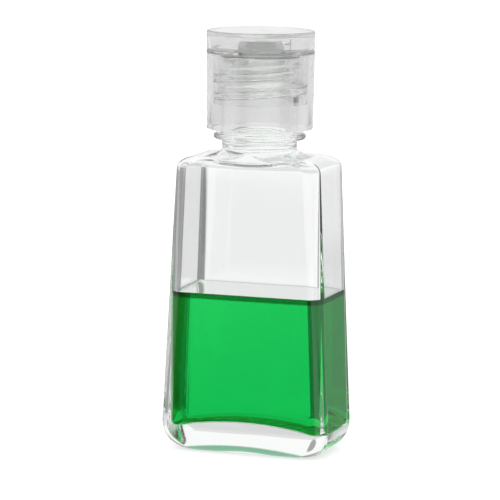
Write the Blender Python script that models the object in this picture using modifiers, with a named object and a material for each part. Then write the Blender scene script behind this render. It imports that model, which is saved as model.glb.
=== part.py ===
"""Travel squeeze bottle with a flip-top screw cap, half full of clear green gel.

Units are metres and +Z is up. The origin is on the neck's axis, in the plane that the feet stand on.
The wide front faces -Y. The cap's hinge is at the back, towards +Y.
"""

import math

import bmesh
import bpy
import numpy as np
from mathutils import Matrix

MM = 0.001

# Gaps between pieces that touch or run in one another.
seat_gap = 0.3 * MM
thread_gap = 0.3 * MM
lid_gap = 0.3 * MM

# Bottle body: a tapered box with round upright edges.
base_width = 42.7 * MM
base_depth = 23.6 * MM
top_width = 35.7 * MM
top_depth = 23.0 * MM
body_height = 71.2 * MM
corner_radius = 3.85 * MM
body_wall = 0.6 * MM
base_wall = 2.9 * MM
side_crown_angle = math.radians(8)

# Bottle heel, feet and the thick base.
heel_height = 7.3 * MM
heel_inset_side = 5.6 * MM
heel_inset_front = 3.8 * MM
foot_corner_radius = 5.4 * MM
foot_width = 2.2 * MM
foot_arch = 0.5 * MM
push_up = 0.9 * MM
floor_height = 5.6 * MM
floor_crown = 2.0 * MM
inner_heel = 1.2 * MM
least_inner_corner = 0.6 * MM
centre_share = 0.12
push_up_shares = (centre_share, 0.4, 0.65, 0.85)
inner_floor_shares = (0.6, 0.3)

# Bottle shoulder.
shoulder_round = 2.7 * MM
shoulder_inset_side = 4.8 * MM
shoulder_inset_front = 0.9 * MM
shoulder_dip = 1.2 * MM
shoulder_rise = 1.9 * MM
shoulder_corner_radius = 6.2 * MM

# Neck, bead and rim.
neck_radius = 8.95 * MM
neck_wall = 1.6 * MM
neck_below_bead = 2.1 * MM
bead_overhang = 2.1 * MM
bead_thickness = 1.4 * MM
bead_round = 0.45 * MM
finish_height = 18.05 * MM
rim_chamfer = 0.3 * MM

# Screw thread: one right-hand start, shared by neck and cap.
thread_pitch = 4.2 * MM
thread_depth = 1.0 * MM
neck_ridge_root = 2.0 * MM
neck_ridge_crest = 0.8 * MM
neck_thread_turns = 2.1
thread_below_rim = 1.3 * MM
cap_ridge_root = 1.7 * MM
cap_ridge_crest = 0.7 * MM
cap_thread_turns = 1.5
ridge_embed = 0.3 * MM
ridge_fade_turns = 0.12
ridge_end_share = 0.12

# Gel.
fill_height = 38.1 * MM

# Sealing washer between the rim and the cap.
washer_thickness = 0.6 * MM
washer_width = 2.0 * MM

# Cap base: outer skirt, threaded skirt, deck, plug seal and nozzle.
skirt_above_bead = 1.05 * MM
skirt_hollow = 0.81 * MM
cap_draft = 0.3 * MM
cap_wall = 0.9 * MM
threaded_skirt_wall = 1.0 * MM
threaded_skirt_length = 12.1 * MM
deck_thickness = 1.3 * MM
deck_step = 0.65 * MM
plug_wall = 1.1 * MM
plug_length = 6.4 * MM
plug_chamfer = 0.4 * MM
nozzle_ledge = 1.45 * MM
nozzle_height = 1.5 * MM
nozzle_round = 1.5 * MM
nozzle_wall = 1.0 * MM
orifice_radius = 1.5 * MM
edge_break = 0.3 * MM

# Thumb scoop under the lid's front edge.
scoop_half_width = 5.0 * MM
scoop_half_height = 2.0 * MM
scoop_depth = 0.45 * MM

# Lid.
lid_headroom = 1.3 * MM
lid_panel = 1.1 * MM
lid_edge_round = 0.45 * MM
pin_depth_in_orifice = 0.9 * MM

# Hinge at the back: two raised pads, two thin films and a snap strap.
pad_half_width = 4.0 * MM
pad_stand_off = 0.25 * MM
pad_embed = 0.25 * MM
pad_height = 2.0 * MM
film_height = 0.8 * MM
film_thickness = 0.35 * MM
film_width = 2.1 * MM
strap_width = 2.2 * MM
strap_overlap = 0.9 * MM
strap_thickness = 0.4 * MM

# How finely the surfaces are cut.
corner_steps = 7
flat_steps = 4
round_steps = 5
lathe_steps = 52
thread_steps_per_turn = 26
scoop_segments = 20
scoop_rings = 12
smooth_angle = math.radians(35)

# Heights that follow from the sizes above.
neck_root_z = body_height + shoulder_rise
bead_bottom_z = neck_root_z + neck_below_bead
bead_top_z = bead_bottom_z + bead_thickness
rim_z = bead_top_z + finish_height
washer_bottom_z = rim_z + seat_gap
washer_top_z = washer_bottom_z + washer_thickness
deck_bottom_z = washer_top_z + seat_gap
deck_top_z = deck_bottom_z + deck_thickness
ledge_z = deck_top_z - deck_step
cap_bottom_z = bead_top_z + skirt_above_bead
nozzle_top_z = deck_top_z + nozzle_height
lid_bottom_z = ledge_z + lid_gap
ceiling_z = nozzle_top_z + lid_headroom
lid_top_z = ceiling_z + lid_panel

# Radii that follow, from the bore outwards.
bore_radius = neck_radius - neck_wall
plug_outer_radius = bore_radius - seat_gap
plug_inner_radius = plug_outer_radius - plug_wall
nozzle_hollow_radius = plug_inner_radius - nozzle_ledge
nozzle_radius = nozzle_hollow_radius + nozzle_wall
pin_radius = orifice_radius - lid_gap
thread_crest_radius = neck_radius + thread_depth
cap_thread_root_radius = thread_crest_radius + thread_gap
cap_thread_crest_radius = cap_thread_root_radius - thread_depth
threaded_skirt_radius = cap_thread_root_radius + threaded_skirt_wall
cap_radius_top = threaded_skirt_radius + skirt_hollow + cap_wall
cap_radius_bottom = cap_radius_top - cap_draft


def cap_radius_at(z):
    """Outer radius of the cap: a straight draft from its bottom edge to the lid's top."""
    share = (z - cap_bottom_z) / (lid_top_z - cap_bottom_z)
    return cap_radius_bottom + (cap_radius_top - cap_radius_bottom) * share


hinge_z = (ledge_z + lid_bottom_z) / 2
pad_face_y = cap_radius_at(hinge_z) + pad_stand_off
hinge_y = pad_face_y - film_thickness / 2
hinge_slot = film_height + 2 * seat_gap


def new_collection(name):
    collection = bpy.data.collections.new(name)
    bpy.context.scene.collection.children.link(collection)
    return collection


def material(name, colour, roughness, transmission=0.0, ior=1.5):
    made = bpy.data.materials.new(name)
    made.use_nodes = True
    shader = made.node_tree.nodes["Principled BSDF"]
    shader.inputs["Base Color"].default_value = (*colour, 1.0)
    shader.inputs["Roughness"].default_value = roughness
    shader.inputs["Metallic"].default_value = 0.0
    shader.inputs["Transmission Weight"].default_value = transmission
    shader.inputs["IOR"].default_value = ior
    made.diffuse_color = (*colour, 1.0)
    return made


def object_from(name, mesh, collection, look=None):
    made = bpy.data.objects.new(name, mesh)
    collection.objects.link(made)
    if look is not None:
        mesh.materials.append(look)
        mesh.shade_smooth()
        mesh.set_sharp_from_angle(angle=smooth_angle)
    else:
        made.hide_render = True
        made.display_type = "WIRE"
    return made


def outline(half_x, half_y, radius):
    """Rounded rectangle, anticlockwise. Each flat side takes a little of the turn, so it is slightly crowned,
    and on a circle its points spread out."""
    spread = side_crown_angle
    centres = np.array([[1, 1], [-1, 1], [-1, -1], [1, -1]]) * [half_x - radius, half_y - radius]
    points = []
    for corner in range(4):
        here, after = centres[corner], centres[(corner + 1) % 4]
        start = corner * math.pi / 2 + spread
        end = (corner + 1) * math.pi / 2 - spread
        for angle in np.linspace(start, end, corner_steps, endpoint=False):
            points.append(here + radius * np.array([math.cos(angle), math.sin(angle)]))
        for share in np.linspace(0, 1, flat_steps, endpoint=False):
            angle = end + 2 * spread * share
            centre = here + (after - here) * share
            points.append(centre + radius * np.array([math.cos(angle), math.sin(angle)]))
    return np.array(points)


def ring(points, z):
    heights = np.broadcast_to(np.asarray(z, float), len(points))
    return np.column_stack([points, heights])


def loft(name, rings):
    """Closed body through rings of equally many points, with its first and last ring capped."""
    mesh_data = bmesh.new()
    rows = [[mesh_data.verts.new(point) for point in one] for one in rings]
    count = len(rows[0])
    for low, high in zip(rows, rows[1:]):
        for i in range(count):
            j = (i + 1) % count
            mesh_data.faces.new([low[i], low[j], high[j], high[i]])
    mesh_data.faces.new(rows[0][::-1])
    mesh_data.faces.new(rows[-1])
    bmesh.ops.recalc_face_normals(mesh_data, faces=mesh_data.faces)
    mesh = bpy.data.meshes.new(name)
    mesh_data.to_mesh(mesh)
    mesh_data.free()
    return mesh


def body_half_sizes(z, inset_x=0.0, inset_y=0.0):
    """Half width and half depth of the tapered body at a height, moved in by the insets."""
    share = z / body_height
    half_x = (base_width + (top_width - base_width) * share) / 2
    half_y = (base_depth + (top_depth - base_depth) * share) / 2
    return half_x - inset_x, half_y - inset_y


def wall_gain(z):
    """How much thicker the wall is than at the shoulder: a blown bottle keeps more plastic towards its base."""
    return (base_wall - body_wall) * (1 - z / body_height)


def inner_corner(wall):
    """The inside's corners share the outside's centres for as long as the wall leaves them a radius."""
    return max(corner_radius - wall, least_inner_corner)


def foot_lift(points, flat_from):
    """The standing edge rises in an arch between the feet at the two ends."""
    share = np.clip(np.abs(points[:, 0]) / flat_from, 0, 1)
    return foot_arch * (1 - share**2) ** 2


def floor_lift(points, half_x):
    """The inside floor is crowned along the bottle's width."""
    return floor_crown * (1 - np.clip(np.abs(points[:, 0]) / half_x, 0, 1) ** 2)


def outer_bottom():
    """Rings from the middle of the pushed-up base, over the feet and round the heel."""
    half_x, half_y = body_half_sizes(0.0, heel_inset_side, heel_inset_front)
    inner = outline(half_x - foot_width, half_y - foot_width, foot_corner_radius - foot_width / 2)
    flat_from = half_x - foot_width - foot_corner_radius
    rings = []
    for share in push_up_shares:
        rings.append(ring(inner * share, push_up * (1 - share**2)))
    rings.append(ring(inner, foot_lift(inner, flat_from)))
    for angle in np.linspace(math.pi / 2, 0, round_steps + 1):
        inward = 1 - math.cos(angle)
        radius = corner_radius + (foot_corner_radius - corner_radius) * inward
        z = heel_height * (1 - math.sin(angle))
        points = outline(*body_half_sizes(z, heel_inset_side * inward, heel_inset_front * inward), radius)
        rings.append(ring(points, z + foot_lift(points, flat_from) * inward))
    return rings


def shoulder(inset, neck_r, root_z):
    """Rings from the straight side over the shoulder's edge and up the fillet to the neck. Front and back
    dip in the middle, where the neck nearly reaches the body's faces."""
    top_z = body_height - inset
    round_z = shoulder_round - inset / 2
    inset_side = shoulder_inset_side - inset / 2
    start_x, start_y = body_half_sizes(top_z, inset, inset)
    rings = []
    for angle in np.linspace(0, math.pi / 2, round_steps + 1):
        inward = 1 - math.cos(angle)
        half_x = start_x - inset_side * inward
        half_y = start_y - shoulder_inset_front * inward
        radius = corner_radius - inset + (shoulder_corner_radius - corner_radius) * inward
        points = outline(half_x, half_y, radius)
        across = 1 - np.clip(np.abs(points[:, 0]) / half_x, 0, 1) ** 2
        dip = shoulder_dip * across**2 * (points[:, 1] / half_y) ** 2
        rings.append(ring(points, top_z - round_z * (1 - math.sin(angle)) - dip))
    edge, edge_z = rings[-1][:, :2], rings[-1][:, 2]
    neck = outline(neck_r, neck_r, neck_r)
    for share in np.linspace(0, 1, round_steps + 1)[1:]:
        rise = 1 - math.sqrt(1 - share**2)
        rings.append(ring(edge + (neck - edge) * share, edge_z + (root_z - edge_z) * rise))
    return rings


def neck_outside():
    """Rings up the neck, round the bead and over the rim."""
    bead_radius = neck_radius + bead_overhang
    steps = [(neck_radius, bead_bottom_z - bead_round), (neck_radius + bead_round, bead_bottom_z)]
    for angle in np.linspace(-math.pi / 2, math.pi / 2, round_steps):
        out = bead_radius - bead_thickness / 2 + bead_thickness / 2 * math.cos(angle)
        steps.append((out, (bead_bottom_z + bead_top_z) / 2 + bead_thickness / 2 * math.sin(angle)))
    steps += [
        (neck_radius + bead_round, bead_top_z),
        (neck_radius, bead_top_z + bead_round),
        (neck_radius, rim_z - rim_chamfer),
        (neck_radius - rim_chamfer, rim_z),
        (bore_radius + rim_chamfer, rim_z),
        (bore_radius, rim_z - rim_chamfer),
    ]
    return [ring(outline(radius, radius, radius), z) for radius, z in steps]


def inside_bottom(inset, rise):
    """Rings down the inside wall, round the inner heel and in over the crowned floor, to its middle."""
    floor_z = floor_height + rise
    rings = []
    for angle in np.linspace(0, math.pi / 2, round_steps):
        inward = 1 - math.cos(angle)
        z = floor_z + inner_heel * (1 - math.sin(angle))
        wall = inset + wall_gain(z)
        half_x, half_y = body_half_sizes(z, wall, wall)
        points = outline(half_x - inner_heel * inward, half_y - inner_heel * inward, inner_corner(wall))
        rings.append(ring(points, z + floor_lift(points, half_x)))
    floor = rings[-1][:, :2]
    for share in inner_floor_shares:
        rings.append(ring(floor * share, floor_z + floor_lift(floor * share, half_x)))
    middle = floor * centre_share
    rings.append(ring(middle, floor_z + floor_lift(middle, half_x).min()))
    return rings


def build_bottle(collection, cutters, look):
    outside = outer_bottom() + shoulder(0.0, neck_radius, neck_root_z) + neck_outside()
    inside = shoulder(body_wall, bore_radius, neck_root_z - body_wall)[::-1] + inside_bottom(body_wall, 0.0)
    bottle = object_from("bottle", loft("bottle", outside + inside), collection, look)
    top_z = rim_z - thread_below_rim
    ridge = thread_ridge(
        "neck_thread_ridge",
        neck_radius - ridge_embed,
        thread_crest_radius,
        neck_ridge_root,
        neck_ridge_crest,
        top_z - thread_pitch * neck_thread_turns,
        neck_thread_turns,
    )
    join(bottle, object_from("neck_thread_ridge", ridge, cutters))
    return bottle


def thread_ridge(name, foot_radius, crest_radius, root, crest, low_z, turns):
    """One trapezoid ridge along a right-hand helix. Its height fades out at both ends."""
    mesh_data = bmesh.new()
    count = round(turns * thread_steps_per_turn)
    rows = []
    for step in range(count + 1):
        turn = turns * step / count
        fade = min(turn, turns - turn) / ridge_fade_turns
        height = ridge_end_share + (1 - ridge_end_share) * min(1.0, fade)
        radius = foot_radius + (crest_radius - foot_radius) * height
        angle = 2 * math.pi * turn
        z = low_z + thread_pitch * turn
        profile = [(foot_radius, -root), (radius, -crest), (radius, crest), (foot_radius, root)]
        side = [(r * math.cos(angle), r * math.sin(angle), z + half / 2) for r, half in profile]
        rows.append([mesh_data.verts.new(point) for point in side])
    for near, far in zip(rows, rows[1:]):
        for i in range(4):
            j = (i + 1) % 4
            mesh_data.faces.new([near[i], near[j], far[j], far[i]])
    mesh_data.faces.new(rows[0][::-1])
    mesh_data.faces.new(rows[-1])
    bmesh.ops.recalc_face_normals(mesh_data, faces=mesh_data.faces)
    mesh = bpy.data.meshes.new(name)
    mesh_data.to_mesh(mesh)
    mesh_data.free()
    return mesh


def join(body, other):
    modifier = body.modifiers.new("Join " + other.name, "BOOLEAN")
    modifier.operation = "UNION"
    modifier.object = other


def cut(body, other):
    modifier = body.modifiers.new("Cut " + other.name, "BOOLEAN")
    modifier.operation = "DIFFERENCE"
    modifier.object = other


def build_gel(collection, look):
    """The gel stands clear of the wall by the seat gap and ends in a level surface."""
    inset = body_wall + seat_gap
    top_inset = inset + wall_gain(fill_height)
    points = outline(*body_half_sizes(fill_height, top_inset, top_inset), inner_corner(top_inset))
    rings = [ring(points, fill_height)] + inside_bottom(inset, seat_gap)
    return object_from("green_gel", loft("green_gel", rings), collection, look)


def turned(name, profile, collection, look, closed=True):
    """Lathe a profile of (radius, height) pairs that runs down its outer side first."""
    edges = [(i, i + 1) for i in range(len(profile) - 1)]
    if closed:
        edges.append((len(profile) - 1, 0))
    mesh = bpy.data.meshes.new(name)
    mesh.from_pydata([(radius, 0.0, z) for radius, z in profile], edges, [])
    made = object_from(name, mesh, collection, look)
    screw = made.modifiers.new("Turn", "SCREW")
    screw.angle = 2 * math.pi
    screw.steps = lathe_steps
    screw.render_steps = lathe_steps
    screw.use_merge_vertices = True
    screw.merge_threshold = 0.01 * MM
    screw.use_smooth_shade = True
    return made


def top_round(outer_r, low_z, across, up):
    """Rounded top edge of a turned profile: a quarter of an ellipse, from its top out and down to outer_r."""
    angles = np.linspace(math.pi / 2, 0, round_steps)
    return [(outer_r - across + across * math.cos(a), low_z + up * math.sin(a)) for a in angles]


def build_washer(collection, look):
    inner = plug_outer_radius + seat_gap
    outer = inner + washer_width
    profile = [(outer, washer_top_z), (outer, washer_bottom_z), (inner, washer_bottom_z), (inner, washer_top_z)]
    return turned("sealing_washer", profile, collection, look)


def build_cap_base(collection, cutters, look):
    outer_top = cap_radius_at(ledge_z)
    inner_bottom = cap_radius_bottom - cap_wall
    inner_top = outer_top - cap_wall
    step_radius = inner_top - lid_gap
    skirt_bottom_z = deck_bottom_z - threaded_skirt_length
    plug_bottom_z = deck_bottom_z - plug_length
    under_z = nozzle_top_z - nozzle_wall
    profile = [
        (outer_top, ledge_z),
        (cap_radius_bottom, cap_bottom_z + edge_break),
        (cap_radius_bottom - edge_break, cap_bottom_z),
        (inner_bottom, cap_bottom_z),
        (inner_top, deck_bottom_z),
        (threaded_skirt_radius, deck_bottom_z),
        (threaded_skirt_radius, skirt_bottom_z + edge_break),
        (threaded_skirt_radius - edge_break, skirt_bottom_z),
        (cap_thread_root_radius, skirt_bottom_z),
        (cap_thread_root_radius, deck_bottom_z),
        (plug_outer_radius, deck_bottom_z),
        (plug_outer_radius, plug_bottom_z + plug_chamfer),
        (plug_outer_radius - plug_chamfer, plug_bottom_z),
        (plug_inner_radius, plug_bottom_z),
        (plug_inner_radius, deck_bottom_z),
        (nozzle_hollow_radius, deck_bottom_z),
        (nozzle_hollow_radius - nozzle_round / 2, under_z),
        (orifice_radius, under_z),
        (orifice_radius, nozzle_top_z),
    ]
    profile += top_round(nozzle_radius, deck_top_z, nozzle_round, nozzle_height)
    profile += [(step_radius, deck_top_z), (step_radius, ledge_z)]
    base = turned("cap_base", profile, collection, look)
    ridge = thread_ridge(
        "cap_thread_ridge",
        cap_thread_root_radius + ridge_embed,
        cap_thread_crest_radius,
        cap_ridge_root,
        cap_ridge_crest,
        cap_thread_low_z(skirt_bottom_z),
        cap_thread_turns,
    )
    ridge.transform(Matrix.Rotation(cap_thread_turn_offset(skirt_bottom_z), 4, "Z"))
    join(base, object_from("cap_thread_ridge", ridge, cutters))
    pad_top_z = hinge_z - hinge_slot / 2
    join(base, hinge_pad("base_hinge_pad", pad_top_z - pad_height, pad_top_z, cutters))
    cut(base, thumb_scoop(cutters))
    return base


def ridge_half_width(root, crest, from_crest):
    """Half the width of a ridge at a depth below its crest."""
    return (crest + (root - crest) * from_crest / thread_depth) / 2


def thread_offset():
    """How far the cap's ridge lies below the neck's: their flanks are the thread gap apart where they are widest."""
    overlap = thread_crest_radius - cap_thread_crest_radius
    at_neck_crest = neck_ridge_crest / 2 + ridge_half_width(cap_ridge_root, cap_ridge_crest, overlap)
    at_cap_crest = cap_ridge_crest / 2 + ridge_half_width(neck_ridge_root, neck_ridge_crest, overlap)
    slope = (neck_ridge_root - neck_ridge_crest) / (2 * thread_depth)
    return max(at_neck_crest, at_cap_crest) + thread_gap * math.hypot(1, slope)


def cap_thread_low_z(skirt_bottom_z):
    return skirt_bottom_z + cap_ridge_root / 2 + edge_break


def cap_thread_turn_offset(skirt_bottom_z):
    """The angle at which the neck's helix, moved down by the thread offset, is as high as the cap's lowest turn."""
    neck_low_z = rim_z - thread_below_rim - thread_pitch * neck_thread_turns
    rise = cap_thread_low_z(skirt_bottom_z) - (neck_low_z - thread_offset())
    return 2 * math.pi * rise / thread_pitch


def hinge_pad(name, low_z, high_z, cutters):
    """A raised pad on the cap's back: flat outside, and curved inside to lie in the wall."""
    root_radius = cap_radius_at(hinge_z) - cap_wall + pad_embed
    reach = math.asin(pad_half_width / root_radius)
    inner = [
        (root_radius * math.sin(angle), root_radius * math.cos(angle))
        for angle in np.linspace(-reach, reach, round_steps)
    ]
    plan = inner + [(pad_half_width, pad_face_y), (-pad_half_width, pad_face_y)]
    mesh = loft(name, [[(x, y, z) for x, y in plan] for z in (low_z, high_z)])
    return object_from(name, mesh, cutters)


def thumb_scoop(cutters):
    """A flattened ball that hollows the cap's front just below the lid."""
    mesh_data = bmesh.new()
    bmesh.ops.create_uvsphere(mesh_data, u_segments=scoop_segments, v_segments=scoop_rings, radius=1.0)
    size = (scoop_half_width, 2 * scoop_depth, scoop_half_height)
    place = (0.0, -cap_radius_at(ledge_z) - scoop_depth, ledge_z - scoop_half_height / 2)
    for vert in mesh_data.verts:
        vert.co = [axis + length * unit for axis, length, unit in zip(place, size, vert.co)]
    mesh = bpy.data.meshes.new("thumb_scoop")
    mesh_data.to_mesh(mesh)
    mesh_data.free()
    return object_from("thumb_scoop", mesh, cutters)


def build_lid(collection, cutters, look):
    edge = cap_radius_at(lid_bottom_z)
    inner = edge - cap_wall
    pin_z = nozzle_top_z - pin_depth_in_orifice
    profile = [(0.0, lid_top_z)]
    profile += top_round(cap_radius_top, lid_top_z - lid_edge_round, lid_edge_round, lid_edge_round)
    profile += [
        (edge, lid_bottom_z),
        (inner, lid_bottom_z),
        (inner, ceiling_z),
        (pin_radius, ceiling_z),
        (pin_radius, pin_z + edge_break),
        (pin_radius - edge_break, pin_z),
        (0.0, pin_z),
    ]
    lid = turned("cap_lid", profile, collection, look, closed=False)
    pad_bottom_z = hinge_z + hinge_slot / 2
    join(lid, hinge_pad("lid_hinge_pad", pad_bottom_z, pad_bottom_z + pad_height, cutters))
    return lid


def box(name, low, high, collection, look):
    """Box between two corners, with its origin at its middle."""
    low, high = np.array(low), np.array(high)
    mesh_data = bmesh.new()
    bmesh.ops.create_cube(mesh_data, size=1.0)
    for vert in mesh_data.verts:
        vert.co = [length * unit for length, unit in zip(high - low, vert.co)]
    mesh = bpy.data.meshes.new(name)
    mesh_data.to_mesh(mesh)
    mesh_data.free()
    made = object_from(name, mesh, collection, look)
    made.location = (low + high) / 2
    return made


def build_hinge(collection, look):
    """Two thin films on the hinge's line, and a strap outside them that snaps the lid open."""
    pieces = []
    for name, side in (("hinge_film_left", -1), ("hinge_film_right", 1)):
        ends = sorted((side * pad_half_width, side * (pad_half_width - film_width)))
        low = (ends[0], pad_face_y - film_thickness, hinge_z - film_height / 2)
        high = (ends[1], pad_face_y, hinge_z + film_height / 2)
        pieces.append(box(name, low, high, collection, look))
    half = hinge_slot / 2 + strap_overlap
    front = pad_face_y + seat_gap
    low = (-strap_width / 2, front, hinge_z - half)
    high = (strap_width / 2, front + strap_thickness, hinge_z + half)
    pieces.append(box("hinge_strap", low, high, collection, look))
    return pieces


def axis_empty(name, place, collection):
    """Marks a joint's axis; what hangs on it keeps its place in the world."""
    empty = bpy.data.objects.new(name, None)
    empty.location = place
    empty.empty_display_size = neck_radius
    collection.objects.link(empty)
    return empty


def hang(child, empty):
    child.parent = empty
    child.matrix_parent_inverse = Matrix.Translation(empty.location).inverted()


def main():
    for leftover in list(bpy.data.objects):
        bpy.data.objects.remove(leftover)
    parts = new_collection("travel_squeeze_bottle")
    cutters = new_collection("cutters")

    clear = material("clear_pet", (0.93, 0.95, 0.95), 0.03, transmission=1.0, ior=1.57)
    green = material("green_gel", (0.05, 0.62, 0.16), 0.05, transmission=0.6, ior=1.36)
    foam = material("washer_foam", (0.86, 0.86, 0.84), 0.7)
    frosted = material("frosted_base", (0.80, 0.81, 0.80), 0.35, transmission=0.5)
    frosted_lid = material("frosted_lid", (0.83, 0.84, 0.83), 0.35, transmission=0.5)
    web = material("frosted_web", (0.84, 0.85, 0.84), 0.4, transmission=0.4)

    build_bottle(parts, cutters, clear)
    build_gel(parts, green)
    cap_axis = axis_empty("cap_turn_axis", (0.0, 0.0, cap_bottom_z), parts)
    hinge_axis = axis_empty("lid_hinge_axis", (0.0, hinge_y, hinge_z), parts)
    hang(hinge_axis, cap_axis)
    hang(build_washer(parts, foam), cap_axis)
    hang(build_cap_base(parts, cutters, frosted), cap_axis)
    for piece in build_hinge(parts, web):
        hang(piece, cap_axis)
    hang(build_lid(parts, cutters, frosted_lid), hinge_axis)


main()
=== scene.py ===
"""Travel squeeze bottle with a flip-top screw cap, half full of clear green gel: its finished surfaces.

Lengths are metres in the model's own frame: +Z up, the wide front towards -Y, the feet on z = 0.
The camera comes first. Then each section makes one piece or a group of like pieces, in the order in which
the bottle is filled, closed and set down, and the room comes last.
"""

import bpy
import numpy as np
from mathutils import Matrix, Vector


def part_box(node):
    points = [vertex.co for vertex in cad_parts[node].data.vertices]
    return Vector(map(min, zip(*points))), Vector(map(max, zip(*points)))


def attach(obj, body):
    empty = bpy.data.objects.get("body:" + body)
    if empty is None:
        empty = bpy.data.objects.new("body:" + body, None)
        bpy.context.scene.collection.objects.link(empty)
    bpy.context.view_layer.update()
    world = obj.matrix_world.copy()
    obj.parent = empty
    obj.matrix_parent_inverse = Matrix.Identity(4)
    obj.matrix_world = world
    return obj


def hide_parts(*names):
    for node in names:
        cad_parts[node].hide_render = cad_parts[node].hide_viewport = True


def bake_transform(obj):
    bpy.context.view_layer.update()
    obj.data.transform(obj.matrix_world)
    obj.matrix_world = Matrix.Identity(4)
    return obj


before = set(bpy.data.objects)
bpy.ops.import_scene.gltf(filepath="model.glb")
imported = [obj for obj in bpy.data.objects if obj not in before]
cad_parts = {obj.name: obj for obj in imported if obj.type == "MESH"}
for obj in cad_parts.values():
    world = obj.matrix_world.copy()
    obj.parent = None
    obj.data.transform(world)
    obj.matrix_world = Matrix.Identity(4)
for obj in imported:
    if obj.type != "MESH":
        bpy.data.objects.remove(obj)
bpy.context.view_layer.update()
mm = 0.001

# Camera. A long lens stands a little to the right of the bottle's front and looks slightly down. In the
# square picture the point halfway up the bottle lies a little to the right of the middle and above it.
picture_size = 500
aim_height = 50.0 * mm
aim_pixel = (258.4, 242.6)
pixels_per_mm = 4.17
camera_yaw = np.radians(18.9)
camera_elevation = np.radians(8.3)
camera_roll = np.radians(0.67)
camera_distance = 760.0 * mm
sensor_width = 36.0

camera_right = Vector((np.cos(camera_yaw), np.sin(camera_yaw), 0.0))
camera_back = Vector(
    (
        np.sin(camera_yaw) * np.cos(camera_elevation),
        -np.cos(camera_yaw) * np.cos(camera_elevation),
        np.sin(camera_elevation),
    )
)
camera_up = camera_back.cross(camera_right)
right_of_middle = (aim_pixel[0] - picture_size / 2) / pixels_per_mm * mm
above_middle = (picture_size / 2 - aim_pixel[1]) / pixels_per_mm * mm
aim = Vector((0.0, 0.0, aim_height)) - right_of_middle * camera_right - above_middle * camera_up
rolled_right = camera_right * np.cos(camera_roll) + camera_up * np.sin(camera_roll)
rolled_up = camera_up * np.cos(camera_roll) - camera_right * np.sin(camera_roll)
camera_turn = Matrix((rolled_right, rolled_up, camera_back)).transposed().to_4x4()

camera = bpy.data.objects.new("camera", bpy.data.cameras.new("camera"))
bpy.context.scene.collection.objects.link(camera)
camera.matrix_world = Matrix.Translation(aim + camera_distance * camera_back) @ camera_turn
camera.data.sensor_width = sensor_width
camera.data.lens = sensor_width * pixels_per_mm / mm * camera_distance / picture_size
camera.data.clip_start = 10.0 * mm
camera.data.clip_end = 20.0
bpy.context.scene.camera = camera

# Bottle. One blow-moulded piece of clear PET: a tapered box with round upright edges, a thick base on two
# feet, and a neck with a bead and a right-hand screw thread. Its wall is thin at the shoulder and thickens
# towards the base, where the plastic is stretched least.
body_height = 71.2 * mm
base_half = (21.35 * mm, 11.8 * mm)
top_half = (17.85 * mm, 11.5 * mm)
corner_radius = 3.85 * mm
body_wall = 0.6 * mm
base_wall = 2.9 * mm
# The base, from the standing edge outwards and inwards.
heel_height = 7.3 * mm
heel_inset = (5.6 * mm, 3.8 * mm)
foot_corner_radius = 5.4 * mm
foot_width = 2.2 * mm
foot_arch = 0.5 * mm
push_up = 0.9 * mm
push_up_power = 1.6
floor_height = 5.6 * mm
floor_crown = 2.0 * mm
inner_heel = 1.2 * mm
# The shoulder.
shoulder_round = 2.7 * mm
shoulder_inset = (4.8 * mm, 0.9 * mm)
shoulder_dip = 1.2 * mm
shoulder_rise = 1.9 * mm
shoulder_corner_radius = 6.2 * mm
inner_shoulder_tightness = 0.9
# The neck, its bead and its thread.
neck_radius = 8.95 * mm
bore_radius = 7.35 * mm
bead_radius = 11.05 * mm
bead_bottom = 75.2 * mm
bead_top = 76.6 * mm
bead_round = 0.69 * mm
bead_root_round = 0.45 * mm
rim_round = 0.3 * mm
bore_round = 3.0 * mm
rim_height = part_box("bottle")[1].z
thread_pitch = 4.2 * mm
thread_depth = 1.0 * mm
neck_ridge_root = 2.0 * mm
neck_ridge_crest = 0.8 * mm
neck_thread_turns = 2.1
neck_thread_foot = rim_height - 1.3 * mm - neck_thread_turns * thread_pitch
ridge_fade_turns = 0.12
# The grid: how many points turn each corner and run along each side, and how many rings a form has.
corner_columns = 26
side_columns = 20
side_turn = np.radians(8)
dome_rings = 18
foot_rings = 4
heel_rings = 40
side_wall_rings = 24
edge_rings = 20
fillet_rings = 22
inner_rings = 14
wall_rings = 12
profile_corner_points = 7
pole_share = 0.04
thread_step = 0.16 * mm
plain_step = 1.0 * mm


def smooth(share):
    """A smooth step of a share from 0 to 1: three times its square less twice its cube."""
    return share**2 * (3 - 2 * share)


def eased_share(value, low, high):
    """A smooth step from 0 at the low value to 1 at the high one."""
    return smooth(np.clip((value - low) / (high - low), 0, 1))


quarters = np.arange(4)[:, None]
corner_signs = np.array([(1, 1), (-1, 1), (-1, -1), (1, -1), (1, 1)])
along_side = np.linspace(0, 1, side_columns, endpoint=False)
side_share = smooth(np.concatenate([np.zeros(corner_columns), along_side]))
quarter_turn = np.concatenate(
    [
        np.linspace(side_turn, np.pi / 2 - side_turn, corner_columns, endpoint=False),
        np.linspace(np.pi / 2 - side_turn, np.pi / 2 + side_turn, side_columns, endpoint=False),
    ]
)
column_angle = (quarters * np.pi / 2 + quarter_turn).ravel()


def column_signs(signs):
    """Each column's place between the corners, from -1 to 1: its corner's sign, eased along a side to the
    sign of the next."""
    return (signs[quarters] + (signs[quarters + 1] - signs[quarters]) * side_share).ravel()


column_x = column_signs(corner_signs[:, 0])
column_y = column_signs(corner_signs[:, 1])


def column(values):
    """The values as one column of an array, so that each sets one ring."""
    return np.atleast_1d(np.asarray(values, float))[:, None]


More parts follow.
